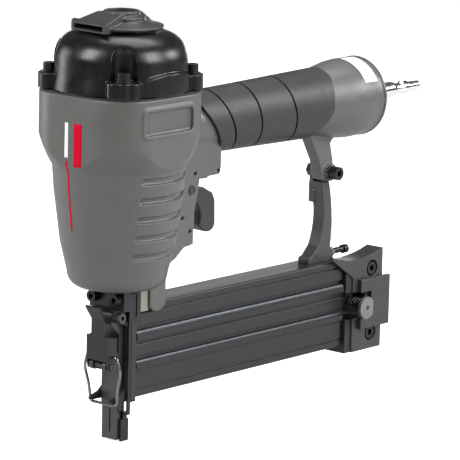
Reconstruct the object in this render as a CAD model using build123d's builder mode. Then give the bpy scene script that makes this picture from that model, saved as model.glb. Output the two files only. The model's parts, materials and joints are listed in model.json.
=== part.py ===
from build123d import *
import os

# Pneumatic nail gun. Millimetres, +Z up along the drive axis, -Y to the front of the tool,
# +Y to the handle and magazine, +X to the tool's left side. The origin is the centre of the
# nose tip on the drive axis.

# Barrel and head
BARREL_BOTTOM_Z = 97.0
SEAM_Z = 220.0
GASKET_T = 0.8
HEAD_HALF = 43.0
HEAD_CORNER_R = 26.4
CAP_R = 43.3
BOSS_OUT_R = 49.6
BOSS_W = 21.0
CAP_FLANGE_TOP_Z = 230.6
DOME_R = 42.0
DOME_TOP_Z = 256.8
CAP_SCREW_R = 43.6
CAP_SCREW_PCD_ANGLE = 45
SCALLOP_R = 8.2

# Cylinder and piston
LINER_IN_R = 19.0
LINER_OUT_R = 21.5
LINER_BOTTOM_Z = 101.0
LINER_TOP_Z = 212.0
PISTON_R = 18.6
PISTON_BOTTOM_Z = 199.5
PISTON_H = 9.5
BLADE_W = 3.0
BLADE_T = 1.6
BLADE_TIP_Z = 82.0

# Handle
HANDLE_Z = 191.5
BELL_R = 26.5
BELL_END_Y = 229.2
PLUG_END_Y = 299.0

# Magazine
MAG_FRONT_Y = 6.5
MAG_END_Y = 210.0
MAG_BOTTOM_Z = 26.0
MAG_TOP_Z = 84.6
CAVITY_HALF = 5.0
BLOCK_END_Y = 248.5
LATCH_Y = 221.0
LATCH_Z = 52.7

# Trigger and valve
TRIGGER_PIN_Y = 54.9
TRIGGER_PIN_Z = 151.5
VALVE_Y = 71.0

# Nose
NOSE_SCREW_X = 9.6
HINGE_Y = -9.0
HINGE_Z = 79.5
LEVER_PIN_Y = -14.0
LEVER_PIN_Z = 48.6
BAIL_PIVOT_Y = -12.4
BAIL_PIVOT_Z = 54.6
BAIL_BAR_Y = -10.4
BAIL_BAR_Z = 23.4
DOOR_BACK_Y = -1.3

os.makedirs("parts", exist_ok=True)


def section(y, z=HANDLE_Z):
    """A plane across the handle at y, facing the rear."""
    return Plane(origin=(0, y, z), x_dir=(1, 0, 0), z_dir=(0, 1, 0))


def across(x=0.0, y=0.0, z=0.0):
    """A plane facing +X with its origin at (x, y, z): its own x runs along +Y, its own y up."""
    return Plane(origin=(x, y, z), x_dir=(0, 1, 0), z_dir=(1, 0, 0))


def head_outline(grow=0.0, mode=Mode.ADD):
    """The head's rounded-square outline in the open sketch."""
    RectangleRounded(2 * (HEAD_HALF + grow), 2 * (HEAD_HALF + grow), HEAD_CORNER_R + grow, mode=mode)


def write(part, name):
    """Label a finished piece and write it under its node's name."""
    part.label = name
    export_step(part, f"parts/{name}.step")


def coil(radius, wire_r, pitch, height):
    """A helical spring standing on the origin's plane, along +Z."""
    with BuildPart() as spring:
        with BuildLine() as turns:
            Helix(pitch=pitch, height=height, radius=radius)
        with BuildSketch(Plane(origin=turns.line @ 0, z_dir=turns.line % 0)):
            Circle(wire_r)
        sweep()
    return spring.part


# ---------------------------------------------------------------- body casting
with BuildPart() as slot_cutter:
    # Five shallow lozenge grooves on each flank of the barrel, following its taper
    with BuildSketch(Plane.YZ):
        for z in (169.0, 157.0, 145.0, 133.0, 121.0):
            with Locations((3.5, z)):
                SlotOverall(45, 4.0)
    extrude(amount=60, both=True)
    with BuildSketch(Plane.XZ):
        with BuildLine():
            Polyline((0, 90), (25.4, 90), (29.1, 105.4), (34.3, 125.7), (39.9, 174.6), (39.9, 180),
                     (0, 180), close=True)
        make_face()
    revolve(axis=Axis.Z, mode=Mode.SUBTRACT)

with BuildPart() as panel_frame:
    # Raised rounded frame high on each flank, following the head's outline
    with BuildSketch(Plane.YZ):
        with Locations((-2.5, 205.6)):
            RectangleRounded(46, 19, 4.5)
            RectangleRounded(41.6, 14.6, 2.8, mode=Mode.SUBTRACT)
    extrude(amount=60, both=True)
    with BuildSketch(Plane.XY.offset(190)):
        head_outline(1.0)
        head_outline(-3.0, mode=Mode.SUBTRACT)
    extrude(amount=29.9, mode=Mode.INTERSECT)

with BuildPart() as panel_recess:
    # Shallow recess inside each frame
    with BuildSketch(Plane.YZ):
        with Locations((-2.5, 205.6)):
            RectangleRounded(41.6, 14.6, 2.8)
    extrude(amount=60, both=True)
    with BuildSketch(Plane.XY.offset(190)):
        head_outline(-1.4)
    extrude(amount=29.9, mode=Mode.SUBTRACT)

with BuildPart() as head_lobes:
    # Head whose corner lobes run out into the barrel
    with BuildSketch(Plane.XY.offset(170)):
        head_outline()
    extrude(amount=SEAM_Z - 170)
    with BuildSketch(Plane.XZ):
        with BuildLine():
            Polyline((0, SEAM_Z), (0, 170), (39.2, 170))
            ThreePointArc((39.2, 170), (46.8, 184), (51.4, 200))
            Polyline((51.4, 200), (51.4, SEAM_Z), (0, SEAM_Z))
        make_face()
    revolve(axis=Axis.Z, mode=Mode.INTERSECT)

with BuildPart() as body_casting:
    # Tapered barrel
    with BuildSketch(Plane.XZ):
        with BuildLine():
            Polyline((0, SEAM_Z), (0, BARREL_BOTTOM_Z), (21.5, BARREL_BOTTOM_Z))
            ThreePointArc((21.5, BARREL_BOTTOM_Z), (28.4, 99.6), (31.4, 106.5))
            Polyline((31.4, 106.5), (36, 125.7), (40.2, 158), (41.6, 176), (41.8, SEAM_Z), (0, SEAM_Z))
        make_face()
    revolve(axis=Axis.Z)
    add(head_lobes.part)
    # Neck plate that carries the trigger and joins barrel, handle and foot
    with BuildSketch(Plane.YZ):
        with BuildLine():
            Polyline((20, 206), (76, 206), (82.8, 173.3), (82.7, 164.4), (81.4, 158.8), (62.3, 158.2),
                     (61.1, 151.1), (58.2, 138.7), (57.5, 126), (57.2, 116.7), (48.5, 115.7),
                     (40.2, 109.5), (32.5, 106), (32.5, 97.5), (20, 97.5), close=True)
        make_face()
    extrude(amount=12, both=True)
    # Handle core, flaring into a bell at its rear end
    for step in range(19):
        y = BELL_END_Y - 11 * (18 - step)
        turn_out = min(max((y - 165) / 50, 0), 1)
        flare = turn_out ** 2 * (3 - 2 * turn_out)
        half_w = BELL_R - 0.0119 * (BELL_END_Y - y) - 9.1 * (1 - flare)
        half_h = BELL_R - 0.0141 * (BELL_END_Y - y) - 6.3 * (1 - flare)
        with BuildSketch(section(y, 192 - 0.0025 * (BELL_END_Y - y))):
            Ellipse(half_w, half_h)
    loft()
    # Foot that straddles the front of the magazine
    with BuildSketch(Plane.YZ):
        with BuildLine():
            Polyline((15, 99), (15, 83.5))
            ThreePointArc((15, 83.5), (22.2, 79.6), (29.4, 83.5))
            Polyline((29.4, 83.5), (29.4, 99), (15, 99))
        make_face()
    extrude(amount=14.5, both=True)
    # Lug under the barrel that the nose is screwed to
    with BuildSketch(Plane.XY.offset(85.4)):
        with Locations((0, 2.2)):
            Rectangle(24, 10.4)
    extrude(amount=13)
    # Lug under the bell for the strut's bolt
    with BuildSketch(Plane.YZ):
        with BuildLine():
            Polyline((176, 176), (181, 168.5), (190, 153), (193.5, 139.6), (200, 138.6), (205.5, 144.5),
                     (204, 153), (201.2, 163.6), (209, 172), (209, 176), close=True)
        make_face()
    extrude(amount=4.25, both=True)
    with BuildSketch(across(0, 200, 144.5)):
        Circle(6)
    extrude(amount=6)
    add(panel_frame.part)
    add(panel_recess.part, mode=Mode.SUBTRACT)
    add(slot_cutter.part, mode=Mode.SUBTRACT)
    # Air reservoir around the cylinder
    with BuildSketch(Plane.XZ):
        with BuildLine():
            Polyline((0, LINER_BOTTOM_Z), (24, LINER_BOTTOM_Z), (24, 104), (30.5, 125), (34.6, 150),
                     (34.6, SEAM_Z), (0, SEAM_Z), close=True)
        make_face()
    revolve(axis=Axis.Z, mode=Mode.SUBTRACT)
    # Air passage through the handle, wider in the bell
    with BuildSketch(section(30)):
        Circle(11)
    extrude(amount=BELL_END_Y - 30, mode=Mode.SUBTRACT)
    with BuildSketch(section(206, 192)):
        Circle(16)
    extrude(amount=BELL_END_Y - 206, mode=Mode.SUBTRACT)
    # Trigger slot, valve bore, pin holes
    with BuildSketch(Plane.YZ):
        with BuildLine():
            Polyline((47.5, 157.6), (47.5, 143), (66, 143), (66, 157.6), close=True)
        make_face()
    extrude(amount=6.6, both=True, mode=Mode.SUBTRACT)
    with BuildSketch(Plane.XY.offset(155)):
        with Locations((0, VALVE_Y)):
            Circle(7)
    extrude(amount=34, mode=Mode.SUBTRACT)
    with BuildSketch(across(0, TRIGGER_PIN_Y, TRIGGER_PIN_Z)):
        Circle(3.0)
    extrude(amount=13, both=True, mode=Mode.SUBTRACT)
    for y, z in ((58.1, 161.9), (80.2, 161.3), (46.8, 134.8), (53.9, 125.5)):
        with BuildSketch(across(0, y, z)):
            Circle(1.35)
        extrude(amount=13, both=True, mode=Mode.SUBTRACT)
    # Drive slot through floor and lug, nose screw holes
    with BuildSketch(Plane.XY.offset(84)):
        Rectangle(BLADE_W + 1.6, BLADE_T + 1.6)
    extrude(amount=18, mode=Mode.SUBTRACT)
    for x in (-NOSE_SCREW_X, NOSE_SCREW_X):
        with BuildSketch(Plane(origin=(x, -4, 90.8), x_dir=(1, 0, 0), z_dir=(0, 1, 0))):
            Circle(2.0)
        extrude(amount=11, mode=Mode.SUBTRACT)
    # Slot that the contact arm's top rises into
    with BuildSketch(Plane.XY.offset(96)):
        with Locations((13.0, 2.0)):
            Rectangle(2.6, 11)
    extrude(amount=3.6, mode=Mode.SUBTRACT)
    # Clearance for the magazine between the foot's cheeks
    with BuildSketch(Plane.XZ.offset(-14)):
        with Locations((0, 70)):
            Rectangle(23.2, 2 * (MAG_TOP_Z - 70))
    extrude(amount=-17, mode=Mode.SUBTRACT)
    # Cap screw, end-cap screw and strut bolt holes
    with BuildSketch(Plane.XY.offset(SEAM_Z)):
        with PolarLocations(CAP_SCREW_R, 4, CAP_SCREW_PCD_ANGLE):
            Circle(2.5)
    extrude(amount=-18, mode=Mode.SUBTRACT)
    with BuildSketch(section(BELL_END_Y, 192)):
        with PolarLocations(21, 4, 45):
            Circle(2.0)
    extrude(amount=-13, mode=Mode.SUBTRACT)
    with BuildSketch(across(0, 200, 144.5)):
        Circle(2.6)
    extrude(amount=13, both=True, mode=Mode.SUBTRACT)
write(body_casting.part, "body_casting")

# ---------------------------------------------------------------- head: gasket, cap, screws
with BuildPart() as head_gasket:
    with BuildSketch(Plane.XY.offset(SEAM_Z)):
        head_outline(-0.3)
        Circle(34.6, mode=Mode.SUBTRACT)
        with PolarLocations(CAP_SCREW_R, 4, CAP_SCREW_PCD_ANGLE):
            Circle(2.7, mode=Mode.SUBTRACT)
    extrude(amount=GASKET_T)
write(head_gasket.part, "head_gasket")

CAP_BOTTOM_Z = SEAM_Z + GASKET_T

with BuildPart() as cap_skirt:
    # Rim that arches up between the corner bosses on both flanks
    with BuildSketch(Plane.XY.offset(CAP_BOTTOM_Z)):
        Circle(CAP_R + 0.7)
    extrude(amount=20)
    with BuildSketch(Plane.YZ):
        with BuildLine():
            ThreePointArc((-28, 227.6), (-1, 234.7), (26, 228.4))
            Polyline((26, 228.4), (26, CAP_BOTTOM_Z), (-28, CAP_BOTTOM_Z), (-28, 227.6))
        make_face()
    extrude(amount=50, both=True, mode=Mode.INTERSECT)

with BuildPart() as cylinder_cap:
    # Corner bosses, each with a half-round screw column on its face
    with BuildSketch(Plane.XY.offset(CAP_BOTTOM_Z)):
        with PolarLocations((BOSS_OUT_R + 28) / 2, 4, CAP_SCREW_PCD_ANGLE):
            RectangleRounded(BOSS_OUT_R - 28, BOSS_W, 5.5)
        with PolarLocations(BOSS_OUT_R - 3.9, 4, CAP_SCREW_PCD_ANGLE):
            Circle(5)
    extrude(amount=CAP_FLANGE_TOP_Z - CAP_BOTTOM_Z)
    with BuildSketch(Plane.XZ):
        with BuildLine():
            Polyline((0, DOME_TOP_Z), (0, CAP_BOTTOM_Z), (CAP_R, CAP_BOTTOM_Z), (CAP_R - 0.4, 224.5),
                     (DOME_R, 231), (DOME_R - 0.3, 239))
            ThreePointArc((DOME_R - 0.3, 239), (37.9, 250.2), (26.5, DOME_TOP_Z))
            Line((26.5, DOME_TOP_Z), (0, DOME_TOP_Z))
        make_face()
    revolve(axis=Axis.Z)
    add(cap_skirt.part)
    # A rounded-top recess in the dome above each corner boss
    with BuildSketch(Plane.XY.offset(CAP_FLANGE_TOP_Z)):
        with PolarLocations(CAP_SCREW_R, 4, CAP_SCREW_PCD_ANGLE):
            Circle(SCALLOP_R)
    extrude(amount=16, mode=Mode.SUBTRACT)
    with PolarLocations(CAP_SCREW_R, 4, CAP_SCREW_PCD_ANGLE):
        with Locations((0, 0, CAP_FLANGE_TOP_Z + 16)):
            Sphere(SCALLOP_R, mode=Mode.SUBTRACT)
    # Spring chamber, guide bore of the head valve and exhaust port
    with BuildSketch(Plane.XY.offset(CAP_BOTTOM_Z)):
        Circle(33)
    extrude(amount=18, mode=Mode.SUBTRACT)
    with BuildSketch(Plane.XY.offset(CAP_BOTTOM_Z)):
        Circle(18)
    extrude(amount=23.2, mode=Mode.SUBTRACT)
    with BuildSketch(Plane.XY.offset(CAP_BOTTOM_Z)):
        Circle(9.4)
    extrude(amount=30, mode=Mode.SUBTRACT)
    with BuildSketch(Plane.XY.offset(CAP_BOTTOM_Z)):
        with PolarLocations(CAP_SCREW_R, 4, CAP_SCREW_PCD_ANGLE):
            Circle(2.7)
    extrude(amount=12, mode=Mode.SUBTRACT)
    with BuildSketch(Plane.XY.offset(DOME_TOP_Z)):
        Circle(2.5)
        with PolarLocations(7.4, 6):
            Circle(1.7)
    extrude(amount=-8, mode=Mode.SUBTRACT)
write(cylinder_cap.part, "cylinder_cap")

with BuildPart() as cap_screws:
    # Four M5 socket-head screws on spring washers
    with BuildSketch(Plane.XY.offset(SEAM_Z - 16)):
        with PolarLocations(CAP_SCREW_R, 4, CAP_SCREW_PCD_ANGLE):
            Circle(2.5)
    extrude(amount=CAP_FLANGE_TOP_Z + 1.0 - SEAM_Z + 16)
    with BuildSketch(Plane.XY.offset(CAP_FLANGE_TOP_Z)):
        with PolarLocations(CAP_SCREW_R, 4, CAP_SCREW_PCD_ANGLE):
            Circle(4.6)
    extrude(amount=1.0)
    with BuildSketch(Plane.XY.offset(CAP_FLANGE_TOP_Z + 1.0)):
        with PolarLocations(CAP_SCREW_R, 4, CAP_SCREW_PCD_ANGLE):
            Circle(4.1)
    extrude(amount=4.8)
    with BuildSketch(Plane.XY.offset(CAP_FLANGE_TOP_Z + 5.8)):
        with PolarLocations(CAP_SCREW_R, 4, CAP_SCREW_PCD_ANGLE):
            RegularPolygon(2.3, 6)
    extrude(amount=-2.6, mode=Mode.SUBTRACT)
write(cap_screws.part, "cap_screws")

# ---------------------------------------------------------------- exhaust deflector
DEFLECTOR = Plane.XY.rotated((0, 0, -4.5))

with BuildPart() as spout:
    # Spout that throws the exhaust to the front, widening to its mouth
    with BuildSketch(DEFLECTOR * Plane.YZ):
        with BuildLine():
            Polyline((0, 257.4), (-26, 257.4), (-26, 263.2), (-23.6, 263.8), (-10.4, 267.9), (0, 267.9),
                     close=True)
        make_face()
    extrude(amount=20, both=True)
    with BuildSketch(DEFLECTOR * Plane.XY.offset(256)):
        with BuildLine():
            Polyline((-14.6, -27), (14.6, -27), (10.2, -7), (8, 0), (-8, 0), (-10.2, -7), close=True)
        make_face()
    extrude(amount=14, mode=Mode.INTERSECT)

with BuildPart() as exhaust_deflector:
    with BuildSketch(Plane.XZ):
        with BuildLine():
            Polyline((0, 257.2), (21.5, 257.2), (21.5, 258.6), (25.4, 258.6), (26, 259.2), (26, 260.1),
                     (25.4, 260.6), (19.4, 261.3), (15.6, 262.3), (14.6, 263.2), (14.6, 265.1),
                     (14.0, 265.6), (12.0, 265.9), (11.3, 266.4), (11.3, 268.4), (10.7, 269), (0, 269),
                     close=True)
        make_face()
    revolve(axis=Axis.Z)
    add(spout.part)
    # Flared lip round the mouth
    with BuildSketch(DEFLECTOR * Plane.YZ):
        with BuildLine():
            Polyline((-24.9, 257.6), (-27.6, 257.6), (-27.6, 262.8), (-26.6, 264.2), (-24.9, 264.5),
                     close=True)
        make_face()
    extrude(amount=15.6, both=True)
    # Wedge fin behind the collar
    with BuildSketch(DEFLECTOR * Plane.YZ):
        with BuildLine():
            Polyline((12, 259.5), (12, 268.4), (15.5, 267.4), (24.2, 261.2), (24.2, 259.5), close=True)
        make_face()
    extrude(amount=1.1, both=True)
    # Mouth, duct and the screw's well
    with BuildSketch(DEFLECTOR * Plane.XY.offset(258.8)):
        with BuildLine():
            Polyline((-13.2, -30), (13.2, -30), (8.4, -8), (-8.4, -8), close=True)
        make_face()
    extrude(amount=2.9, mode=Mode.SUBTRACT)
    with BuildSketch(Plane.XY.offset(257)):
        Circle(11.5)
    extrude(amount=3, mode=Mode.SUBTRACT)
    with BuildSketch(Plane.XY.offset(262.5)):
        Circle(9.3)
    extrude(amount=8, mode=Mode.SUBTRACT)
    with BuildSketch(Plane.XY.offset(256)):
        Circle(3.3)
    extrude(amount=8, mode=Mode.SUBTRACT)
write(exhaust_deflector.part, "exhaust_deflector")

with BuildPart() as exhaust_screw:
    with BuildSketch(Plane.XZ):
        with BuildLine():
            Polyline((0, 250.8), (2.5, 250.8), (2.5, 256.9), (3.0, 256.9), (3.0, 262.8), (5.2, 262.8),
                     (5.2, 264.2), (3.8, 265.6), (0, 265.6), close=True)
        make_face()
    revolve(axis=Axis.Z)
    with BuildSketch(Plane.XY.offset(265.6)):
        RegularPolygon(1.9, 6)
    extrude(amount=-1.8, mode=Mode.SUBTRACT)
write(exhaust_screw.part, "exhaust_screw")

# ---------------------------------------------------------------- head valve, cylinder, piston
with BuildPart() as head_valve:
    with BuildSketch(Plane.XZ):
        with BuildLine():
            Polyline((5, 212.4), (29, 212.4), (30, 213.4), (30, 220), (27, 222), (9, 222), (9, 242),
                     (5, 242), close=True)
        make_face()
    revolve(axis=Axis.Z)
write(head_valve.part, "head_valve")

head_valve_spring = Pos(0, 0, 223.3) * coil(13.6, 1.1, 4.6, 19.0)
write(head_valve_spring, "head_valve_spring")

with BuildPart() as cylinder_liner:
    with BuildSketch(Plane.XY.offset(LINER_BOTTOM_Z)):
        Circle(LINER_OUT_R)
        Circle(LINER_IN_R, mode=Mode.SUBTRACT)
    extrude(amount=LINER_TOP_Z - LINER_BOTTOM_Z)
    # A ring of return-air holes above the bumper
    for turn in range(6):
        with BuildSketch(Plane.YZ.rotated((0, 0, 60 * turn))):
            with Locations((0, 122)):
                Circle(1.6)
        extrude(amount=24, mode=Mode.SUBTRACT)
write(cylinder_liner.part, "cylinder_liner")

with BuildPart() as liner_guide_ring:
    with BuildSketch(Plane.XY.offset(196)):
        Circle(34.5)
        Circle(LINER_OUT_R, mode=Mode.SUBTRACT)
        with PolarLocations(28.2, 12):
            Circle(3.2, mode=Mode.SUBTRACT)
    extrude(amount=6)
write(liner_guide_ring.part, "liner_guide_ring")

with BuildPart() as bumper:
    with BuildSketch(Plane.XZ):
        with BuildLine():
            Polyline((6, LINER_BOTTOM_Z), (18.9, LINER_BOTTOM_Z), (18.9, 110), (16.8, 117), (6, 117),
                     close=True)
        make_face()
    revolve(axis=Axis.Z)
write(bumper.part, "bumper")

with BuildPart() as piston:
    with BuildSketch(Plane.XZ):
        with BuildLine():
            Polyline((0, PISTON_BOTTOM_Z), (PISTON_R - 1, PISTON_BOTTOM_Z), (PISTON_R, 200.5),
                     (PISTON_R, 203.3), (16.8, 203.3), (16.8, 205.2), (PISTON_R, 205.2),
                     (PISTON_R, PISTON_BOTTOM_Z + PISTON_H), (12, PISTON_BOTTOM_Z + PISTON_H),
                     (8, 206), (0, 206), close=True)
        make_face()
    revolve(axis=Axis.Z)
    with BuildSketch(Plane.XY.offset(PISTON_BOTTOM_Z)):
        Circle(4.5)
    extrude(amount=-12)
    with BuildSketch(Plane.XY.offset(PISTON_BOTTOM_Z - 13)):
        Rectangle(BLADE_W, BLADE_T)
    extrude(amount=16, mode=Mode.SUBTRACT)
write(piston.part, "piston")

with BuildPart() as piston_ring:
    with BuildSketch(Plane.XZ):
        with Locations((17.75, 204.25)):
            Circle(0.85)
    revolve(axis=Axis.Z)
write(piston_ring.part, "piston_ring")

with BuildPart() as driver_blade:
    with BuildSketch(Plane.XY.offset(BLADE_TIP_Z)):
        Rectangle(BLADE_W, BLADE_T)
    extrude(amount=PISTON_BOTTOM_Z + 3 - BLADE_TIP_Z)
write(driver_blade.part, "driver_blade")

# ---------------------------------------------------------------- trigger and valve
with BuildPart() as trigger:
    # Pivot arm and a tongue with a hollow finger face
    with BuildSketch(Plane.YZ):
        with BuildLine():
            Polyline((52, 156.3), (58, 156.6), (63.5, 152), (72.5, 150.8), (82.4, 145.6), (84.7, 141),
                     (85.2, 127))
            ThreePointArc((85.2, 127), (83.6, 122.8), (79.4, 121))
            ThreePointArc((79.4, 121), (73.6, 122.6), (69.6, 127))
            ThreePointArc((69.6, 127), (70.6, 134), (66.4, 141.2))
            Polyline((66.4, 141.2), (61.6, 146.4), (51, 146.4), (49.4, 148), (49.4, 153.6), (52, 156.3))
        make_face()
    extrude(amount=6, both=True)
    with BuildSketch(across(0, TRIGGER_PIN_Y, TRIGGER_PIN_Z)):
        Circle(3.05)
    extrude(amount=8, both=True, mode=Mode.SUBTRACT)
    # Rounded edges down the finger face and the back
    fillet(
        trigger.edges().filter_by(lambda e: e.center().Y > 69 and e.center().Z < 145
                                  and abs(abs(e.center().X) - 6) < 0.01), 1.4)
write(trigger.part, "trigger")

with BuildPart() as trigger_pin:
    with BuildSketch(across(-12.3, TRIGGER_PIN_Y, TRIGGER_PIN_Z)):
        Circle(3.0)
    extrude(amount=24.6)
    for x, way in ((12.3, -1), (-12.3, 1)):
        with BuildSketch(across(x, TRIGGER_PIN_Y, TRIGGER_PIN_Z)):
            Circle(2.4)
            Circle(1.8, mode=Mode.SUBTRACT)
        extrude(amount=way * 0.5, mode=Mode.SUBTRACT)
write(trigger_pin.part, "trigger_pin")

with BuildPart() as roll_pins:
    # Spring pins across the neck plate
    for y, z in ((58.1, 161.9), (80.2, 161.3), (46.8, 134.8), (53.9, 125.5)):
        with BuildSketch(across(-11.6, y, z)):
            Circle(1.3)
            Circle(0.7, mode=Mode.SUBTRACT)
        extrude(amount=23.2)
write(roll_pins.part, "roll_pins")

with BuildPart() as trigger_valve:
    with BuildSketch(Plane.XZ.offset(-VALVE_Y)):
        with BuildLine():
            Polyline((2.05, 156.8), (8.3, 156.8), (8.3, 158.1), (7, 158.1), (7, 186), (3, 186),
                     (3, 184.4), (5.2, 184.4), (5.2, 171.8), (2.05, 171.8), close=True)
        make_face()
    revolve(axis=Axis((0, VALVE_Y, 0), (0, 0, 1)))
write(trigger_valve.part, "trigger_valve")

with BuildPart() as valve_stem:
    with BuildSketch(Plane.XZ.offset(-VALVE_Y)):
        with BuildLine():
            Polyline((0, 151.4), (1.4, 151.4), (2, 152.2), (2, 172.1), (4.4, 172.1), (4.4, 174.1),
                     (1.6, 174.1), (1.6, 176.5), (0, 176.5), close=True)
        make_face()
    revolve(axis=Axis((0, VALVE_Y, 0), (0, 0, 1)))
write(valve_stem.part, "valve_stem")

valve_spring = Pos(0, VALVE_Y, 174.8) * coil(3.4, 0.5, 1.9, 8.9)
write(valve_spring, "valve_spring")

# ---------------------------------------------------------------- grip, end cap, air inlet
with BuildPart() as grip_envelope:
    # The sleeve's outer surface less the depth of its grooves
    for y, half_w, half_h, z in ((40, 16.0, 18.8, 191.5), (110, 17.0, 20.0, 191.7), (200, 19.2, 22.0, 192.0)):
        with BuildSketch(section(y, z)):
            Ellipse(half_w, half_h)
    loft(ruled=True)

with BuildPart() as groove_rings:
    # Slanted slices that become the ring grooves
    for y, lean in ((86, 25), (113, 12), (146.6, 13)):
        with BuildSketch(Plane(origin=(0, y, 192), x_dir=(1, 0, 0), z_dir=(0, 1, 0)).rotated((lean, 0, 0))):
            Circle(40)
        extrude(amount=1.5)
    add(grip_envelope.part, mode=Mode.SUBTRACT)

with BuildPart() as grip_sleeve:
    for y, half_w, half_h, z in ((40, 17.3, 20.1, 191.5), (110, 18.3, 21.3, 191.7), (200, 20.5, 23.3, 192.0)):
        with BuildSketch(section(y, z)):
            Ellipse(half_w, half_h)
    loft(ruled=True)
    # Slanted front edge and curved rear edge
    with BuildSketch(Plane.YZ):
        with BuildLine():
            Polyline((56, 216), (62.7, 201.7), (83.8, 173.1), (87.5, 165), (172.5, 165), (174, 172))
            ThreePointArc((174, 172), (185.5, 191), (188.5, 214))
            Polyline((188.5, 214), (188.5, 218), (56, 218), (56, 216))
        make_face()
    extrude(amount=30, both=True, mode=Mode.INTERSECT)
    add(groove_rings.part, mode=Mode.SUBTRACT)
    add(body_casting.part, mode=Mode.SUBTRACT)
    with BuildSketch(section(30)):
        Circle(12)
    extrude(amount=180, mode=Mode.SUBTRACT)
grip_solid = grip_sleeve.part.solids().sort_by(SortBy.VOLUME)[-1]
write(grip_solid, "grip_sleeve")

with BuildPart() as end_gasket:
    with BuildSketch(section(BELL_END_Y, 192)):
        Circle(BELL_R - 0.3)
        Circle(16, mode=Mode.SUBTRACT)
        with PolarLocations(21, 4, 45):
            Circle(2.2, mode=Mode.SUBTRACT)
    extrude(amount=0.8)
write(end_gasket.part, "end_gasket")

END_CAP_Y = BELL_END_Y + 0.8

with BuildPart() as end_cap:
    with BuildSketch(section(END_CAP_Y, 192)):
        Circle(BELL_R)
    extrude(amount=2.2)
    fillet(end_cap.edges().filter_by(GeomType.CIRCLE).group_by(Axis.Y)[-1], 0.9)
    with BuildSketch(section(END_CAP_Y, 192)):
        Circle(13)
    extrude(amount=7.7)
    with BuildSketch(section(END_CAP_Y, 192)):
        Circle(6.5)
    extrude(amount=9, mode=Mode.SUBTRACT)
    with BuildSketch(section(END_CAP_Y, 192)):
        with PolarLocations(21, 4, 45):
            Circle(2.2)
    extrude(amount=9, mode=Mode.SUBTRACT)
write(end_cap.part, "end_cap")

with BuildPart() as end_cap_screws:
    with BuildSketch(section(BELL_END_Y - 11, 192)):
        with PolarLocations(21, 4, 45):
            Circle(2)
    extrude(amount=14)
    with BuildSketch(section(END_CAP_Y + 2.2, 192)):
        with PolarLocations(21, 4, 45):
            Circle(3.4)
    extrude(amount=2.2)
    with BuildSketch(section(END_CAP_Y + 4.4, 192)):
        with PolarLocations(21, 4, 45):
            RegularPolygon(1.6, 6)
    extrude(amount=-1.4, mode=Mode.SUBTRACT)
write(end_cap_screws.part, "end_cap_screws")

INLET_Y = END_CAP_Y + 7.7

with BuildPart() as inlet_bushing:
    with BuildSketch(section(INLET_Y, 192)):
        RegularPolygon(10.4, 6)
    extrude(amount=11)
    with BuildSketch(section(INLET_Y + 11, 192)):
        Circle(7.6)
    extrude(amount=4)
    with BuildSketch(section(END_CAP_Y + 1, 192)):
        Circle(6.5)
    extrude(amount=7)
    with BuildSketch(section(END_CAP_Y, 192)):
        Circle(4)
    extrude(amount=40, mode=Mode.SUBTRACT)
    chamfer(inlet_bushing.edges().filter_by(GeomType.CIRCLE).group_by(Axis.Y)[-1].sort_by(SortBy.RADIUS)[-1], 0.8)
write(inlet_bushing.part, "inlet_bushing")

with BuildPart() as air_plug:
    plug_start = INLET_Y + 4
    with BuildSketch(Plane.YZ):
        with BuildLine():
            Polyline((plug_start, 194.2), (plug_start, 196), (plug_start + 11, 196), (plug_start + 11, 197.4),
                     (268, 197.2), (270.5, 196.7), (272.5, 195.5), (277.5, 195.5), (279.5, 196.4),
                     (284.5, 196.4), (285.6, 195.4), (297.5, 195.2), (PLUG_END_Y, 194.4),
                     (PLUG_END_Y, 194.2), close=True)
        make_face()
    revolve(axis=Axis((0, 0, 192), (0, 1, 0)))
write(air_plug.part, "air_plug")

# ---------------------------------------------------------------- strut between handle and magazine
with BuildPart() as strut:
    with BuildSketch(Plane.YZ):
        with BuildLine():
            Polyline((193.6, 138.4), (195.4, 124))
            ThreePointArc((195.4, 124), (195.2, 108), (191.4, 96))
            Polyline((191.4, 96), (185.4, 89.6), (181.5, 88.6), (181.5, MAG_TOP_Z), (207, MAG_TOP_Z),
                     (207, 91.4), (203.6, 92.6))
            ThreePointArc((203.6, 92.6), (204.6, 116), (200.6, 138.4))
            Line((200.6, 138.4), (193.6, 138.4))
        make_face()
    extrude(amount=4.6, both=True)
    # Cheek beside the casting's lug
    with BuildSketch(across(-7.2, 0, 0)):
        with BuildLine():
            Polyline((193.6, 128), (202.5, 128), (205.8, 144.5))
            ThreePointArc((205.8, 144.5), (200, 150.4), (194.2, 144.5))
            Line((194.2, 144.5), (193.6, 128))
        make_face()
    extrude(amount=2.9)
    with BuildSketch(across(-7.2, 0, 0)):
        with BuildLine():
            Polyline((193.8, 124), (204, 124), (202.5, 132), (193.6, 132), close=True)
        make_face()
    extrude(amount=5)
    with BuildSketch(across(0, 200, 144.5)):
        Circle(2.6)
    extrude(amount=12, both=True, mode=Mode.SUBTRACT)
    with BuildSketch(section(187, 89.0)):
        Circle(2.1)
    extrude(amount=33, mode=Mode.SUBTRACT)
write(strut.part, "strut")

with BuildPart() as strut_bolt:
    with BuildSketch(across(-12.6, 200, 144.5)):
        Circle(2.5)
    extrude(amount=20.2)
    with BuildSketch(across(7.6, 200, 144.5)):
        Circle(4.4)
    extrude(amount=6)
    with BuildSketch(across(13.6, 200, 144.5)):
        RegularPolygon(2.3, 6)
    extrude(amount=-3, mode=Mode.SUBTRACT)
write(strut_bolt.part, "strut_bolt")

with BuildPart() as strut_washer:
    with BuildSketch(across(6, 200, 144.5)):
        Circle(5.2)
        Circle(2.6, mode=Mode.SUBTRACT)
    extrude(amount=1.6)
write(strut_washer.part, "strut_washer")

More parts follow.
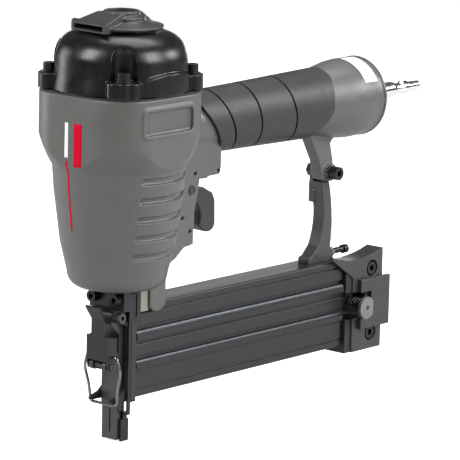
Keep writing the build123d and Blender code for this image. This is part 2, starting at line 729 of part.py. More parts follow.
with BuildPart() as strut_nut:
    with BuildSketch(across(-11.6, 200, 144.5)):
        RegularPolygon(4.6, 6)
        Circle(2.5, mode=Mode.SUBTRACT)
    extrude(amount=4.3)
write(strut_nut.part, "strut_nut")

with BuildPart() as foot_screw:
    # Long clamp screw through the strut's foot, with a thumb head to the rear
    with BuildSketch(section(188, 89.0)):
        Circle(2.0)
    extrude(amount=34.5)
    with BuildSketch(section(222, 89.0)):
        Circle(2.9)
    extrude(amount=4)
    with BuildSketch(section(207.1, 89.0)):
        RegularPolygon(3.9, 6)
    extrude(amount=2.6)
write(foot_screw.part, "foot_screw")

# ---------------------------------------------------------------- nose
with BuildPart() as nose_housing:
    # Apron that screws to the casting, and the bridge over the drive slot
    with BuildSketch(Plane.XY.offset(83.4)):
        with Locations((0, -6.1)):
            Rectangle(29, 5.8)
    extrude(amount=13.4)
    with BuildSketch(Plane.XY.offset(83.4)):
        with Locations((0, -3.55)):
            Rectangle(22, 10.9)
    extrude(amount=1.9)
    # Column that backs the drive channel
    with BuildSketch(Plane.XY.offset(26.4)):
        with Locations((0, 0.35)):
            Rectangle(19.6, 3.1)
    extrude(amount=58.6)
    # Narrow nose tip with sloping shoulders
    with BuildSketch(Plane.XZ.offset(1.2)):
        with BuildLine():
            Polyline((-6.2, 0), (6.2, 0), (6.2, 23.6), (8.8, 26.6), (-8.8, 26.6), (-6.2, 23.6), close=True)
        make_face()
    extrude(amount=-3.1)
    # Hinge ears
    with BuildSketch(Plane.YZ):
        with BuildLine():
            Polyline((-12.6, 79.5), (-12.6, 84), (-5.4, 84), (-1, 80), (-1, 73))
            Polyline((-1, 73), (-9, 75.9))
            ThreePointArc((-9, 75.9), (-11.6, 76.9), (-12.6, 79.5))
        make_face()
    extrude(amount=10.8, both=True)
    with BuildSketch(Plane.YZ):
        with BuildLine():
            Polyline((-14, 70), (-1.2, 70), (-1.2, 83.4), (-14, 83.4), close=True)
        make_face()
    extrude(amount=7.4, both=True, mode=Mode.SUBTRACT)
    # Horns that hold the wire bail down each side
    for side in (-1, 1):
        with BuildSketch(across(side * 8.6, 0, 0)):
            with BuildLine():
                Polyline((-1.0, 24.6), (-8, 24.9), (-13.4, 24.9), (-14.2, 26), (-12.6, 27.2), (-6, 29.2),
                         (-1.0, 33), close=True)
            make_face()
        extrude(amount=1.2, both=True)
    # Drive channel and fastener window
    with BuildSketch(Plane.XY.offset(-1)):
        with Locations((0, -1.5)):
            Rectangle(BLADE_W + 1.0, 5.4)
    extrude(amount=84.4, mode=Mode.SUBTRACT)
    with BuildSketch(Plane.XY.offset(83)):
        Rectangle(BLADE_W + 1.0, BLADE_T + 1.4)
    extrude(amount=3, mode=Mode.SUBTRACT)
    with BuildSketch(Plane.XZ.offset(3)):
        with Locations((0, 53.5)):
            Rectangle(BLADE_W + 1.0, 51)
    extrude(amount=-8, mode=Mode.SUBTRACT)
    with BuildSketch(across(0, HINGE_Y, HINGE_Z)):
        Circle(2.0)
    extrude(amount=20, both=True, mode=Mode.SUBTRACT)
    for x in (-NOSE_SCREW_X, NOSE_SCREW_X):
        with BuildSketch(Plane(origin=(x, -12, 90.8), x_dir=(1, 0, 0), z_dir=(0, 1, 0))):
            Circle(2.1)
        extrude(amount=11, mode=Mode.SUBTRACT)
write(nose_housing.part, "nose_housing")

with BuildPart() as nose_screws:
    # Two M4 socket-head screws
    for x in (-NOSE_SCREW_X, NOSE_SCREW_X):
        with BuildSketch(Plane(origin=(x, -9, 90.8), x_dir=(1, 0, 0), z_dir=(0, 1, 0))):
            Circle(2.0)
        extrude(amount=15)
        with BuildSketch(Plane(origin=(x, -9, 90.8), x_dir=(1, 0, 0), z_dir=(0, 1, 0))):
            Circle(3.6)
        extrude(amount=-4.4)
        with BuildSketch(Plane(origin=(x, -13.4, 90.8), x_dir=(1, 0, 0), z_dir=(0, 1, 0))):
            RegularPolygon(2.0, 6)
        extrude(amount=2.4, mode=Mode.SUBTRACT)
write(nose_screws.part, "nose_screws")

with BuildPart() as hinge_pin:
    with BuildSketch(across(-11.8, HINGE_Y, HINGE_Z)):
        Circle(2.0)
    extrude(amount=23)
    with BuildSketch(across(10.9, HINGE_Y, HINGE_Z)):
        Circle(3.1)
    extrude(amount=2.6)
    with BuildSketch(across(13.5, HINGE_Y, HINGE_Z)):
        RegularPolygon(1.5, 6)
    extrude(amount=-1.4, mode=Mode.SUBTRACT)
write(hinge_pin.part, "hinge_pin")

with BuildPart() as nose_door:
    # Front half of the drive channel, narrow at the tip
    with BuildSketch(Plane.XZ.offset(-DOOR_BACK_Y)):
        with BuildLine():
            Polyline((-6.2, 0), (6.2, 0), (6.2, 20), (7.0, 24), (7.0, 76), (-7.0, 76), (-7.0, 24), (-6.2, 20),
                     close=True)
        make_face()
    extrude(amount=3.7)
    # Knuckle around the hinge pin
    with BuildSketch(Plane.YZ):
        with BuildLine():
            Polyline((-5, 68), (-2.4, 72), (-5.4, 79.5))
            ThreePointArc((-5.4, 79.5), (-9, 83.1), (-12.6, 79.5))
            Polyline((-12.6, 79.5), (-12, 75), (-5, 68))
        make_face()
    extrude(amount=6.9, both=True)
    # Ears that carry the latch lever
    for side in (-1, 1):
        with BuildSketch(across(side * 5.4, 0, 0)):
            with BuildLine():
                Polyline((-4, 43), (-13, 45.6))
                ThreePointArc((-13, 45.6), (-17, 48.6), (-14, 51.6))
                Polyline((-14, 51.6), (-10, 52), (-4, 58), (-4, 43))
            make_face()
        extrude(amount=1.4, both=True)
    # Central rib line on the tip and the latch spring's well
    with BuildSketch(Plane.XZ.offset(5.6)):
        with Locations((0.6, 12)):
            SlotOverall(15, 1.2, rotation=90)
    extrude(amount=-1.3, mode=Mode.SUBTRACT)
    with BuildSketch(across(0, HINGE_Y, HINGE_Z)):
        Circle(2.06)
    extrude(amount=8, both=True, mode=Mode.SUBTRACT)
    with BuildSketch(across(0, LEVER_PIN_Y, LEVER_PIN_Z)):
        Circle(1.5)
    extrude(amount=9, both=True, mode=Mode.SUBTRACT)
write(nose_door.part, "nose_door")

with BuildPart() as lever_pin:
    with BuildSketch(across(-9.3, LEVER_PIN_Y, LEVER_PIN_Z)):
        Circle(1.5)
    extrude(amount=18.6)
write(lever_pin.part, "lever_pin")

with BuildPart() as latch_lever:
    # Face plate, narrow neck and a thumb tab that flares to the front
    with BuildSketch(Plane.YZ):
        with BuildLine():
            Polyline((-17.4, 52), (-17.4, 78), (-22.3, 86.5), (-21.3, 87.1), (-16.2, 78.3), (-16.2, 52),
                     close=True)
        make_face()
    extrude(amount=8.8, both=True)
    for side in (-1, 1):
        with BuildSketch(Plane.XZ.offset(10)):
            with BuildLine():
                Polyline((side * 5.0, 69), (side * 5.0, 79), (side * 6.0, 84), (side * 6.0, 90), (side * 10, 90),
                         (side * 10, 67.6), (side * 7.4, 67.6), close=True)
            make_face()
        extrude(amount=20, mode=Mode.SUBTRACT)
        # Side flanges with the lever's and the bail's pivots
        with BuildSketch(across(side * 8.2, 0, 0)):
            with BuildLine():
                Polyline((-17.4, 52), (-16.2, 46.4), (-12.4, 45.8), (-9.6, 50), (-8.6, 53), (-8.6, 66),
                         (-17.4, 67.6), close=True)
            make_face()
        extrude(amount=0.6, both=True)
    with BuildSketch(across(0, LEVER_PIN_Y, LEVER_PIN_Z)):
        Circle(1.56)
    extrude(amount=10, both=True, mode=Mode.SUBTRACT)
    with BuildSketch(across(0, BAIL_PIVOT_Y, BAIL_PIVOT_Z)):
        Circle(0.98)
    extrude(amount=10, both=True, mode=Mode.SUBTRACT)
write(latch_lever.part, "latch_lever")

BAIL_DROP = ((BAIL_PIVOT_Z - BAIL_BAR_Z) ** 2 + (BAIL_PIVOT_Y - BAIL_BAR_Y) ** 2) ** 0.5
BAIL_PLANE = Plane(
    origin=(0, BAIL_PIVOT_Y, BAIL_PIVOT_Z), x_dir=(1, 0, 0),
    z_dir=(0, -(BAIL_PIVOT_Z - BAIL_BAR_Z) / BAIL_DROP, (BAIL_PIVOT_Y - BAIL_BAR_Y) / BAIL_DROP))

with BuildPart() as wire_bail:
    # Bowed wire loop, its bar under the two horns
    with BuildLine(BAIL_PLANE) as bail_path:
        FilletPolyline((7.3, 0), (12.2, 0), (15.4, -9), (12.2, -20), (10.8, -BAIL_DROP),
                       (-10.8, -BAIL_DROP), (-12.2, -20), (-15.4, -9), (-12.2, 0), (-7.3, 0),
                       radius=[2.2, 12, 24, 2.2, 2.2, 24, 12, 2.2])
    with BuildSketch(Plane(origin=bail_path.line @ 0, z_dir=bail_path.line % 0)):
        Circle(0.9)
    sweep()
write(wire_bail.part, "wire_bail")

with BuildPart() as contact_arm:
    # Foot that wraps the sides and back of the tip
    with BuildSketch(Plane.XY.offset(-1)):
        with Locations((0, 0.7)):
            Rectangle(16, 6.8)
        with Locations((0, -1.1)):
            Rectangle(13.2, 6.8, mode=Mode.SUBTRACT)
    extrude(amount=14)
    # Stem up the side of the nose, stepping outwards to a plate under the barrel
    for x0, x1, y0, y1, z0, z1 in ((6.6, 8.0, -0.8, 2.6, 13, 17.8), (6.6, 11.6, -0.8, 1.5, 16.4, 17.8),
                                   (10.2, 11.6, -0.8, 1.5, 16.4, 78), (10.2, 13.6, -0.8, 1.5, 75.4, 78),
                                   (12.4, 13.6, -2.8, 7.0, 75.4, 93.8)):
        with BuildSketch(Plane.XY.offset(z0)):
            with Locations(((x0 + x1) / 2, (y0 + y1) / 2)):
                Rectangle(x1 - x0, y1 - y0)
        extrude(amount=z1 - z0)
    # Long dimple pressed into the plate
    with BuildSketch(across(13.6, 2.4, 86)):
        SlotOverall(15, 3.4, rotation=90)
    extrude(amount=-0.6, mode=Mode.SUBTRACT)
write(contact_arm.part, "contact_arm")

# ---------------------------------------------------------------- magazine
with BuildPart() as magazine_saddle:
    # Plated bracket over the front of the magazine, under the barrel
    with BuildSketch(Plane.XZ.offset(-7.7)):
        with Locations((0, 89)):
            Rectangle(26.4, 16)
        with Locations((0, 80)):
            Rectangle(22.4, 9.4, mode=Mode.SUBTRACT)
    extrude(amount=-7)
write(magazine_saddle.part, "magazine_saddle")

with BuildPart() as magazine_front_plate:
    with BuildSketch(Plane.XZ.offset(-2)):
        with Locations((0, 54.3)):
            Rectangle(23, 60.6)
        with Locations((0, 53.5)):
            Rectangle(BLADE_W + 1.0, 51, mode=Mode.SUBTRACT)
    extrude(amount=-(MAG_FRONT_Y - 2))
write(magazine_front_plate.part, "magazine_front_plate")

with BuildPart() as magazine_body:
    # Extruded profile: rails at top and bottom, two rounded beads on each side
    with BuildSketch(Plane.XZ.offset(-MAG_FRONT_Y)):
        with BuildLine():
            Polyline((0, MAG_BOTTOM_Z), (9.6, MAG_BOTTOM_Z), (10.2, 26.6), (10.2, 30.2), (9.3, 30.2),
                     (9.3, 31.2), (10.4, 31.2), (10.4, 42.6))
            ThreePointArc((10.4, 42.6), (12.1, 46.2), (11.2, 49.6))
            Polyline((11.2, 49.6), (8.6, 50.2), (8.6, 52.4), (10.4, 52.4), (10.4, 59.2), (9.7, 59.2),
                     (9.7, 60), (10.4, 60))
            ThreePointArc((10.4, 60), (12.3, 64.6), (11.2, 68.4))
            Polyline((11.2, 68.4), (8.6, 69), (8.6, 71.2), (10.4, 71.2), (10.4, 79.2), (9.3, 79.2),
                     (9.3, 80.2), (10.6, 80.2), (10.6, 83.8), (9.8, MAG_TOP_Z), (0, MAG_TOP_Z),
                     (0, MAG_BOTTOM_Z))
        make_face()
        mirror(about=Plane.YZ)
        with Locations((0, 55.5)):
            Rectangle(2 * CAVITY_HALF, 53, mode=Mode.SUBTRACT)
    extrude(amount=-(MAG_END_Y - MAG_FRONT_Y))
    # Tongue past the rear end that guides the latch button
    with BuildSketch(Plane.XY.offset(46)):
        with Locations((6.4, (204 + 226) / 2)):
            Rectangle(2.0, 226 - 204)
    extrude(amount=13.4)
    with BuildSketch(across(0, LATCH_Y, LATCH_Z)):
        Circle(2.56)
    extrude(amount=12, mode=Mode.SUBTRACT)
write(magazine_body.part, "magazine_body")

with BuildPart() as magazine_rail:
    # Sliding inner channel that holds the strip of fasteners
    with BuildSketch(Plane.XZ.offset(-7)):
        with Locations((0, 55.5)):
            Rectangle(2 * 3.6, 51.6)
            Rectangle(2 * 2.4, 49.2, mode=Mode.SUBTRACT)
    extrude(amount=-(211.6 - 7))
write(magazine_rail.part, "magazine_rail")

with BuildPart() as pusher:
    with BuildSketch(Plane.YZ):
        with BuildLine():
            Polyline((8, 33), (8, 79), (20, 79), (34, 70), (34, 38), (24, 33), close=True)
        make_face()
    extrude(amount=2.0, both=True)
    with BuildSketch(across(0, 26, 55)):
        Circle(6)
    extrude(amount=3, both=True, mode=Mode.SUBTRACT)
write(pusher.part, "pusher")

with BuildPart() as pusher_spring:
    # Rolled ribbon spring carried in the pusher's window
    with BuildSketch(across(0, 26, 55)):
        Circle(5.6)
        Circle(4.4, mode=Mode.SUBTRACT)
    extrude(amount=1.9, both=True)
write(pusher_spring.part, "pusher_spring")

with BuildPart() as rear_end_plate:
    with BuildSketch(Plane.XZ.offset(-211.6)):
        with Locations((0.6, 51.5)):
            Rectangle(24.4, 61)
    extrude(amount=-6.1)
    with BuildSketch(Plane.YZ):
        with BuildLine():
            Polyline((210, 43.8), (220, 43.8), (220, 61.6), (210, 61.6), close=True)
        make_face()
    extrude(amount=16, mode=Mode.SUBTRACT)
    with BuildSketch(Plane.YZ):
        with BuildLine():
            Polyline((205, 80.5), (212, 75.6), (217.8, 71.6), (217.8, 84), (205, 84), close=True)
        make_face()
    extrude(amount=16, both=True, mode=Mode.SUBTRACT)
write(rear_end_plate.part, "rear_end_plate")

with BuildPart() as rear_block:
    with BuildSketch(Plane.YZ):
        with BuildLine():
            Polyline((217.7, 21), (BLOCK_END_Y, 21), (BLOCK_END_Y, 88.6))
            ThreePointArc((BLOCK_END_Y, 88.6), (226, 84.2), (203, 85.4))
            Polyline((203, 85.4), (194.8, 89.4), (194.8, 87), (217.7, 71.6), (217.7, 21))
        make_face()
    extrude(amount=14)
    with BuildSketch(Plane.YZ):
        with BuildLine():
            Polyline((217.7, 22), (BLOCK_END_Y - 1, 22), (BLOCK_END_Y - 1, 80), (217.7, 80), close=True)
        make_face()
    extrude(amount=-11)
    # Only a thin cheek reaches forward, beside the magazine's top edge
    with BuildSketch(Plane.XY.offset(60)):
        with Locations((-2, (180 + 211) / 2)):
            Rectangle(26.8, 31)
    extrude(amount=40, mode=Mode.SUBTRACT)
    with BuildSketch(Plane.XY.offset(66)):
        with Locations((-2, (211 + 217.7) / 2)):
            Rectangle(26.8, 217.7 - 211)
    extrude(amount=15.6, mode=Mode.SUBTRACT)
    with BuildSketch(Plane.XY.offset(80)):
        with BuildLine():
            Polyline((-12, 200), (-12, 250), (-2.5, 250), (-2.5, 234), (3, 211), (3, 200), close=True)
        make_face()
    extrude(amount=20, mode=Mode.SUBTRACT)
    # Open recess for the latch and pockets for the two screws
    with BuildSketch(Plane.YZ.offset(-3)):
        with BuildLine():
            Polyline((210, 43.8), (230.6, 43.8), (230.6, 61.6), (210, 61.6), close=True)
        make_face()
    extrude(amount=30, mode=Mode.SUBTRACT)
    for z in (75.9, 32.0):
        with BuildSketch(across(8.8, 237.5, z)):
            Circle(5.6)
        extrude(amount=10, mode=Mode.SUBTRACT)
        with BuildSketch(across(-12, 237.5, z)):
            Circle(2.5)
        extrude(amount=26, mode=Mode.SUBTRACT)
write(rear_block.part, "rear_block")

with BuildPart() as rear_block_screws:
    for z in (75.9, 32.0):
        with BuildSketch(across(-10.9, 237.5, z)):
            Circle(2.5)
        extrude(amount=20)
        with BuildSketch(across(8.8, 237.5, z)):
            Circle(4.25)
        extrude(amount=4.8)
        with BuildSketch(across(13.6, 237.5, z)):
            RegularPolygon(2.3, 6)
        extrude(amount=-2.6, mode=Mode.SUBTRACT)
write(rear_block_screws.part, "rear_block_screws")

with BuildPart() as latch_plate:
    # Plate with a notch open to the front, which the button's stem sits in
    with BuildSketch(across(14, 0, 0)):
        with BuildLine():
            Polyline((223.2, 36.4), (253.5, 36.4), (253.5, 70), (222.8, 70), (222.8, 61.4), (233.8, 61.4),
                     (233.8, 44), (223.2, 44), close=True)
        make_face()
    extrude(amount=3)
write(latch_plate.part, "latch_plate")

with BuildPart() as latch_button:
    with BuildSketch(across(6.4, LATCH_Y, LATCH_Z)):
        Circle(2.5)
    extrude(amount=15.8)
    with BuildSketch(across(22, LATCH_Y, LATCH_Z)):
        Circle(7.4)
        with Locations((7.4 + 5, 0)):
            Rectangle(13, 20, mode=Mode.SUBTRACT)
    extrude(amount=2.2)
    with BuildSketch(across(24.2, LATCH_Y, LATCH_Z)):
        Circle(1.5)
    extrude(amount=-1.2, mode=Mode.SUBTRACT)
write(latch_button.part, "latch_button")

latch_spring = Pos(9.85, LATCH_Y, LATCH_Z) * Rot(0, 90, 0) * coil(5.2, 0.65, 2.3, 11.45)
write(latch_spring, "latch_spring")
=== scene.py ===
import json
import math

import bmesh
import bpy
from mathutils import Matrix, Vector
from mathutils.bvhtree import BVHTree


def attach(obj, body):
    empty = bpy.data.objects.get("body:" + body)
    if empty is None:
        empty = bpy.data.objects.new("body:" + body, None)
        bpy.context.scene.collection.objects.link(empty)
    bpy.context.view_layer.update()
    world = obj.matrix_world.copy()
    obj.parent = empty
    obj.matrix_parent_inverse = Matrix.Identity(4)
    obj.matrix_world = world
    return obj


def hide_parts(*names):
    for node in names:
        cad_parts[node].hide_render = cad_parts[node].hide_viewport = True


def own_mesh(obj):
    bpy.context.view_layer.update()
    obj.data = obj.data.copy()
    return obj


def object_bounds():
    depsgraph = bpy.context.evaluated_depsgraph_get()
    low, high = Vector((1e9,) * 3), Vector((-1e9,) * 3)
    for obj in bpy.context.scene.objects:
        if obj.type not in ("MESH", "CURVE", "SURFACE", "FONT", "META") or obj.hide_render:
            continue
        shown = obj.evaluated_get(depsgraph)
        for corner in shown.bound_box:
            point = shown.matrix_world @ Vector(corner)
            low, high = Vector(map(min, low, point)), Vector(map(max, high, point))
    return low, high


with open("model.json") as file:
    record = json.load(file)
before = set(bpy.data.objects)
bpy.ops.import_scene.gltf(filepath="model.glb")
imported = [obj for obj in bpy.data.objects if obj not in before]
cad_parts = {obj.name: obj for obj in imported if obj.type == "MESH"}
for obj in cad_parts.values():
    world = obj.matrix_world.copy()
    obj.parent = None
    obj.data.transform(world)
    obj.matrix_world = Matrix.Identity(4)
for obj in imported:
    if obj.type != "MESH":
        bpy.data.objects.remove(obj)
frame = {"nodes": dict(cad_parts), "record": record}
cad_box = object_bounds()
nodes = frame["nodes"]
MM = 0.001

# ---------------------------------------------------------------- camera
YAW, PITCH, ROLL = math.radians(40.5), math.radians(11.3), math.radians(1.4)
CAMERA_AT = (1.4291, -1.5667, 0.5572)
CAMERA_LENS = 273.9
look = Vector((-math.sin(YAW) * math.cos(PITCH), math.cos(YAW) * math.cos(PITCH), -math.sin(PITCH)))
right = Vector((math.cos(YAW), math.sin(YAW), 0))
up = right.cross(look)
cam_x = right * math.cos(ROLL) + up * math.sin(ROLL)
cam_y = up * math.cos(ROLL) - right * math.sin(ROLL)
camera = bpy.data.objects.new("camera", bpy.data.cameras.new("camera"))
bpy.context.scene.collection.objects.link(camera)
turned = Matrix((cam_x, cam_y, -look)).transposed().to_4x4()
camera.matrix_world = Matrix.Translation(CAMERA_AT) @ turned
camera.data.lens = CAMERA_LENS
camera.data.sensor_width = 36
camera.data.clip_start, camera.data.clip_end = 0.05, 50
bpy.context.scene.camera = camera

# ---------------------------------------------------------------- lights and world
CENTRE = Vector((0, 0.12, 0.14))
AMBIENT, BACKDROP = 0.10, 1.0  # strength of the world as a light, and as the camera sees it
FLOOR_GLOW = 0.85  # what the floor adds for the camera, to fade into the backdrop
FLOOR_GAP = 0.3  # mm under the lowest point of the object


def softbox(name, toward, distance, size, power, tint=(1, 1, 1)):
    """An area light in a direction from the object, given as (to the camera, to its right, up)."""
    way = (-look * toward[0] + right * toward[1] + Vector((0, 0, 1)) * toward[2]).normalized()
    lamp = bpy.data.lights.new(name, "AREA")
    lamp.shape, lamp.size, lamp.size_y = "RECTANGLE", size[0], size[1]
    lamp.energy, lamp.color = power, tint
    ob = bpy.data.objects.new(name, lamp)
    bpy.context.scene.collection.objects.link(ob)
    ob.location = CENTRE + way * distance
    ob.rotation_mode = "QUATERNION"
    ob.rotation_quaternion = way.to_track_quat("Z", "Y")
    ob.visible_camera = False


softbox("key_left", (0.5, -0.75, 0.50), 1.3, (0.5, 0.7), 15)
softbox("fill_right", (0.6, 0.85, 0.50), 1.3, (0.6, 0.7), 18)
softbox("overhead", (-0.2, 0.1, 1.0), 1.3, (1.0, 0.8), 14, (0.95, 0.98, 1.0))
softbox("rim_right", (-0.15, 0.86, 0.44), 1.3, (0.5, 0.35), 9, (0.93, 0.97, 1.0))
softbox("rim_left", (-0.30, -0.95, 0.22), 1.3, (0.4, 0.7), 5)
softbox("backdrop", (-1.0, 0.0, 0.2), 1.6, (1.5, 0.35), 7)

world = bpy.data.worlds.new("studio")
bpy.context.scene.world = world
world.use_nodes = True
wt = world.node_tree
wt.nodes.clear()
w_out = wt.nodes.new("ShaderNodeOutputWorld")
w_mix = wt.nodes.new("ShaderNodeMixShader")
w_path = wt.nodes.new("ShaderNodeLightPath")
w_light = wt.nodes.new("ShaderNodeBackground")
w_seen = wt.nodes.new("ShaderNodeBackground")
w_light.inputs["Color"].default_value = (1, 1, 1, 1)
w_light.inputs["Strength"].default_value = AMBIENT
w_seen.inputs["Color"].default_value = (1, 1, 1, 1)
w_seen.inputs["Strength"].default_value = BACKDROP
wt.links.new(w_path.outputs["Is Camera Ray"], w_mix.inputs[0])
wt.links.new(w_light.outputs[0], w_mix.inputs[1])
wt.links.new(w_seen.outputs[0], w_mix.inputs[2])
wt.links.new(w_mix.outputs[0], w_out.inputs[0])
bpy.context.scene.view_settings.view_transform = "Standard"


# ---------------------------------------------------------------- materials
class Shader:
    """A Principled material and the few nodes that vary it over the surface."""

    def __init__(self, name, metal=0.0, **fixed):
        self.mat = bpy.data.materials.new(name)
        self.mat.use_nodes = True
        self.tree = self.mat.node_tree
        self.bsdf = self.tree.nodes["Principled BSDF"]
        self.bsdf.inputs["Metallic"].default_value = metal
        for key, value in fixed.items():
            self.bsdf.inputs[key.replace("_", " ")].default_value = value
        self.where = self.tree.nodes.new("ShaderNodeTexCoord").outputs["Object"]

    def node(self, kind):
        return self.tree.nodes.new(kind)

    def noise(self, scale, detail=3.0, rough=0.5, stretch=None):
        n = self.node("ShaderNodeTexNoise")
        n.inputs["Scale"].default_value = scale
        n.inputs["Detail"].default_value = detail
        n.inputs["Roughness"].default_value = rough
        where = self.where
        if stretch:
            m = self.node("ShaderNodeMapping")
            m.inputs["Scale"].default_value = stretch
            self.tree.links.new(self.where, m.inputs["Vector"])
            where = m.outputs["Vector"]
        self.tree.links.new(where, n.inputs["Vector"])
        return n.outputs["Fac"]

    def ranged(self, value, low, high, frm=(0.3, 0.7)):
        m = self.node("ShaderNodeMapRange")
        for k, v in zip(("From Min", "From Max", "To Min", "To Max"), (*frm, low, high)):
            m.inputs[k].default_value = v
        self.tree.links.new(value, m.inputs["Value"])
        return m.outputs["Result"]

    def colour(self, value, *stops):
        """Colours between two (position, (r, g, b)) stops along value."""
        ramp = self.node("ShaderNodeValToRGB")
        for e, (pos, rgb) in zip(ramp.color_ramp.elements, stops):
            e.position, e.color = pos, (*rgb, 1)
        self.tree.links.new(value, ramp.inputs["Fac"])
        self.tree.links.new(ramp.outputs["Color"], self.bsdf.inputs["Base Color"])

    def rough(self, value, low, high):
        self.tree.links.new(self.ranged(value, low, high), self.bsdf.inputs["Roughness"])

    def bump(self, value, strength, depth):
        b = self.node("ShaderNodeBump")
        b.inputs["Strength"].default_value = strength
        b.inputs["Distance"].default_value = depth
        self.tree.links.new(value, b.inputs["Height"])
        self.tree.links.new(b.outputs["Normal"], self.bsdf.inputs["Normal"])


ROUGH_SPREAD = 0.06
GRAIN_DEPTH = 0.0002  # m


def shade(rgb, share):
    return tuple(c * share for c in rgb)


def plain(name, rgb, rough, metal=0.0, tint=0.12, blotch=30, grain=1600, strength=0.12, stretch=None,
          **fixed):
    """A finish with soft mottling, uneven gloss and fine grain."""
    s = Shader(name, metal, **fixed)
    cloud = s.noise(blotch, 5, 0.6, stretch)
    s.colour(cloud, (0.3, shade(rgb, 1 - tint)), (0.7, shade(rgb, 1 + tint)))
    s.rough(s.noise(blotch * 3, 4, 0.6, stretch), rough - ROUGH_SPREAD, rough + ROUGH_SPREAD)
    s.bump(s.noise(grain, 2, 0.6, stretch), strength, GRAIN_DEPTH)
    return s.mat


FINISH = {
    "body_paint": plain("body_paint", (0.096, 0.096, 0.090), 0.40, metal=0.15, tint=0.05, grain=1400,
                        strength=0.10),
    "gasket": plain("gasket", (0.02, 0.02, 0.02), 0.7),
    "cap_black": plain("cap_black", (0.005, 0.005, 0.005), 0.29, tint=0.2, grain=2500, strength=0.03,
                       Specular_IOR_Level=0.36),
    "screw_black": plain("screw_black", (0.012, 0.012, 0.012), 0.30, metal=0.3),
    "deflector_plastic": plain("deflector_plastic", (0.030, 0.031, 0.029), 0.38),
    "valve_plastic": plain("valve_plastic", (0.05, 0.05, 0.05), 0.5),
    "spring_steel": plain("spring_steel", (0.5, 0.5, 0.5), 0.3, metal=1),
    "liner_aluminium": plain("liner_aluminium", (0.6, 0.61, 0.62), 0.35, metal=1),
    "seal_rubber": plain("seal_rubber", (0.015, 0.015, 0.015), 0.6),
    "blade_steel": plain("blade_steel", (0.45, 0.45, 0.46), 0.3, metal=1),
    "trigger_plastic": plain("trigger_plastic", (0.022, 0.022, 0.023), 0.36),
    "pin_steel": plain("pin_steel", (0.09, 0.09, 0.09), 0.3, metal=0.9),
    "grip_rubber": plain("grip_rubber", (0.021, 0.021, 0.021), 0.52, tint=0.14, blotch=60, grain=1000,
                         strength=0.3),
    "plug_chrome": plain("plug_chrome", (0.88, 0.88, 0.89), 0.16, metal=1, tint=0.03, strength=0.03),
    "strut_paint": plain("strut_paint", (0.04, 0.041, 0.039), 0.34),
    "nose_steel": plain("nose_steel", (0.018, 0.018, 0.019), 0.32, metal=0.3),
    "plated_steel": plain("plated_steel", (0.30, 0.29, 0.25), 0.34, metal=0.9, strength=0.05),
    "door_steel": plain("door_steel", (0.092, 0.089, 0.084), 0.36, metal=0.8),
    "wire_steel": plain("wire_steel", (0.22, 0.215, 0.21), 0.25, metal=1),
    "front_plate_steel": plain("front_plate_steel", (0.035, 0.037, 0.04), 0.38, metal=0.4),
    "magazine_anodised": plain("magazine_anodised", (0.046, 0.047, 0.049), 0.38, metal=0.7, tint=0.08,
                               grain=700, strength=0.015, stretch=(1, 0.04, 1)),
    "rear_block_paint": plain("rear_block_paint", (0.03, 0.031, 0.031), 0.36),
    "button_aluminium": plain("button_aluminium", (0.26, 0.26, 0.26), 0.42, metal=0.9),
    "spring_black": plain("spring_black", (0.012, 0.012, 0.012), 0.25, metal=0.4),
    "label_white": plain("label_white", (0.78, 0.78, 0.77), 0.45, tint=0.03),
    "stripe_red": plain("stripe_red", (0.50, 0.001, 0.022), 0.6, tint=0.05, Specular_IOR_Level=0.05),
}
node_slot = {s["node"]: s["material_slot"] for s in frame["record"]["subparts"]}
for name, ob in nodes.items():
    ob.data.materials.clear()
    ob.data.materials.append(FINISH[node_slot[name]])


# ---------------------------------------------------------------- shapes
WELD = 1e-5  # m
SMOOTHING = 0.5
EDGE = 0.25  # mm, width of the rounded edge on a machined piece
SHARP = math.radians(35)


def new_piece(name, mesh, finish, body, *replaced):
    """A finished mesh as a piece that rides on a body and stands for CAD nodes."""
    ob = bpy.data.objects.new(name, mesh)
    bpy.context.scene.collection.objects.link(ob)
    mesh.materials.clear()
    mesh.materials.append(FINISH[finish])
    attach(ob, body)
    if replaced:
        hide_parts(*replaced)
    return ob


def applied(ob, name):
    """A new mesh of what the object's modifiers make."""
    graph = bpy.context.evaluated_depsgraph_get()
    mesh = bpy.data.meshes.new_from_object(ob.evaluated_get(graph))
    mesh.name = name
    return mesh


def welded(ob):
    """Joins the CAD mesh's faces along their shared edges."""
    ob.modifiers.new("weld", "WELD").merge_threshold = WELD


def cast(node, name, body, voxel, rounds, keep=1.0):
    """A node's shape with its edges and inner corners softened, as a casting has them."""
    work = bpy.data.objects.new("work", nodes[node].data.copy())
    bpy.context.scene.collection.objects.link(work)
    welded(work)
    remesh = work.modifiers.new("remesh", "REMESH")
    remesh.mode, remesh.voxel_size = "VOXEL", voxel * MM
    smooth = work.modifiers.new("smooth", "SMOOTH")
    smooth.factor, smooth.iterations = SMOOTHING, rounds
    if keep < 1:
        thin = work.modifiers.new("thin", "DECIMATE")
        thin.ratio = keep
    mesh = applied(work, name)
    bpy.data.objects.remove(work)
    mesh.shade_smooth()
    return new_piece(name, mesh, node_slot[node], body, node)


def crisp(node):
    """Fine rounded edges on a machined or pressed CAD node."""
    ob = nodes[node]
    welded(ob)
    bevel = ob.modifiers.new("bevel", "BEVEL")
    bevel.width, bevel.segments = EDGE * MM, 2
    bevel.limit_method, bevel.angle_limit = "ANGLE", SHARP
    bevel.harden_normals = False
    even = ob.modifiers.new("even", "WEIGHTED_NORMAL")
    even.keep_sharp = True


body = cast("body_casting", "body_shell", "tool", 0.6, 2, keep=0.26)
cast("cylinder_cap", "cap_shell", "tool", 0.55, 3, keep=0.55)
cast("exhaust_deflector", "deflector_shell", "deflector", 0.3, 1)
cast("trigger", "trigger_shell", "trigger", 0.4, 2)
cast("strut", "strut_shell", "tool", 0.45, 2)
cast("rear_block", "rear_block_shell", "drawer", 0.5, 1)


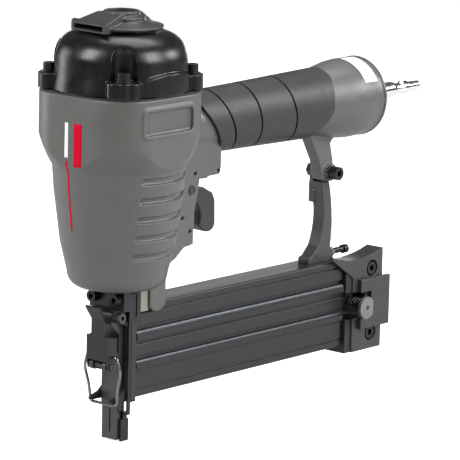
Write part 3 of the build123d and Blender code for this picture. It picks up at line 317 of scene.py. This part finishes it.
def pressed(node):
    """A coil spring's CAD mesh as a piece of its own on the tool body, standing in for the node."""
    coil = new_piece(node + "_coil", nodes[node].data.copy(), node_slot[node], "tool", node)
    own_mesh(coil)


pressed("valve_spring")
pressed("head_valve_spring")

for node in ("grip_sleeve", "cap_screws", "end_cap", "end_cap_screws", "inlet_bushing", "trigger_pin",
             "strut_bolt", "strut_nut", "foot_screw", "nose_housing", "nose_screws", "hinge_pin", "nose_door",
             "latch_lever", "contact_arm", "magazine_front_plate", "magazine_saddle", "magazine_body",
             "rear_end_plate", "rear_block_screws", "latch_plate", "latch_button", "strut_washer"):
    crisp(node)


# ---------------------------------------------------------------- markings
STICKER = 0.3  # mm thick, half of it sunk into the surface
BELL_Z = 192


def sticker(name, finish, base, ray, rows, cols):
    """A thin patch laid on a surface: ray(u, v) gives the line that finds each of its points."""
    tree = BVHTree.FromObject(base, bpy.context.evaluated_depsgraph_get())
    outer, inner = [], []
    for i in range(rows + 1):
        for j in range(cols + 1):
            start, way = ray(i / rows, j / cols)
            spot = tree.ray_cast(start, way)[0]
            outer.append(spot - way * STICKER * 0.5 * MM)
            inner.append(spot + way * STICKER * 0.5 * MM)
    step, count = cols + 1, (rows + 1) * (cols + 1)
    faces = []
    for i in range(rows):
        for j in range(cols):
            k = i * step + j
            faces.append((k, k + 1, k + step + 1, k + step))
            faces.append(tuple(count + c for c in (k + step, k + step + 1, k + 1, k)))
    rim = (list(range(cols)) + [i * step + cols for i in range(rows)]
           + [rows * step + j for j in range(cols, 0, -1)] + [i * step for i in range(rows, 0, -1)])
    for a, b in zip(rim, rim[1:] + rim[:1]):
        faces.append((b, a, count + a, count + b))
    mesh = bpy.data.meshes.new(name)
    mesh.from_pydata([tuple(p) for p in outer + inner], [], faces)
    shape = bmesh.new()
    shape.from_mesh(mesh)
    bmesh.ops.recalc_face_normals(shape, faces=shape.faces)
    shape.to_mesh(mesh)
    shape.free()
    for poly in mesh.polygons[:2 * rows * cols]:
        poly.use_smooth = True
    new_piece(name, mesh, finish, "tool")


def from_front(x0, x1, z0, z1):
    """Lines along +Y that find a patch on the front of the barrel."""
    def ray(u, v):
        return Vector((x0 + (x1 - x0) * v, -80, z0 + (z1 - z0) * u)) * MM, Vector((0, 1, 0))
    return ray


def round_bell(y0, y1, a0, a1):
    """Lines towards the handle's axis that find a band round the bell, angles from +X."""
    def ray(u, v):
        turn = math.radians(a0 + (a1 - a0) * v)
        out = Vector((math.cos(turn), 0, math.sin(turn)))
        return (Vector((0, y0 + (y1 - y0) * u, BELL_Z)) + out * 60) * MM, -out
    return ray


sticker("front_panel_red", "stripe_red", body, from_front(1.5, 8.0, 177, 203.5), 24, 8)
sticker("front_line_pale", "label_white", body, from_front(-5.6, -2.8, 182, 203.5), 20, 3)
sticker("front_line_red", "stripe_red", body, from_front(-5.0, -3.6, 136, 180), 40, 2)
sticker("bell_label", "label_white", body, round_bell(213, 225.6, 29, 88), 8, 30)

# ---------------------------------------------------------------- floor
bpy.ops.mesh.primitive_plane_add(size=8, location=(0, 0, cad_box[0].z - FLOOR_GAP * MM))
floor = bpy.context.object
floor.name = "floor"
pale = Shader("floor_pale", 0.0)
pale.colour(pale.noise(3, 3), (0.3, (0.5, 0.5, 0.5)), (0.7, (0.54, 0.54, 0.54)))
pale.bsdf.inputs["Roughness"].default_value = 0.9
pale.bsdf.inputs["Emission Color"].default_value = (1, 1, 1, 1)
seen = pale.node("ShaderNodeLightPath").outputs["Is Camera Ray"]
glow = pale.ranged(seen, 0.0, FLOOR_GLOW, (0, 1))
pale.tree.links.new(glow, pale.bsdf.inputs["Emission Strength"])
floor.data.materials.append(pale.mat)
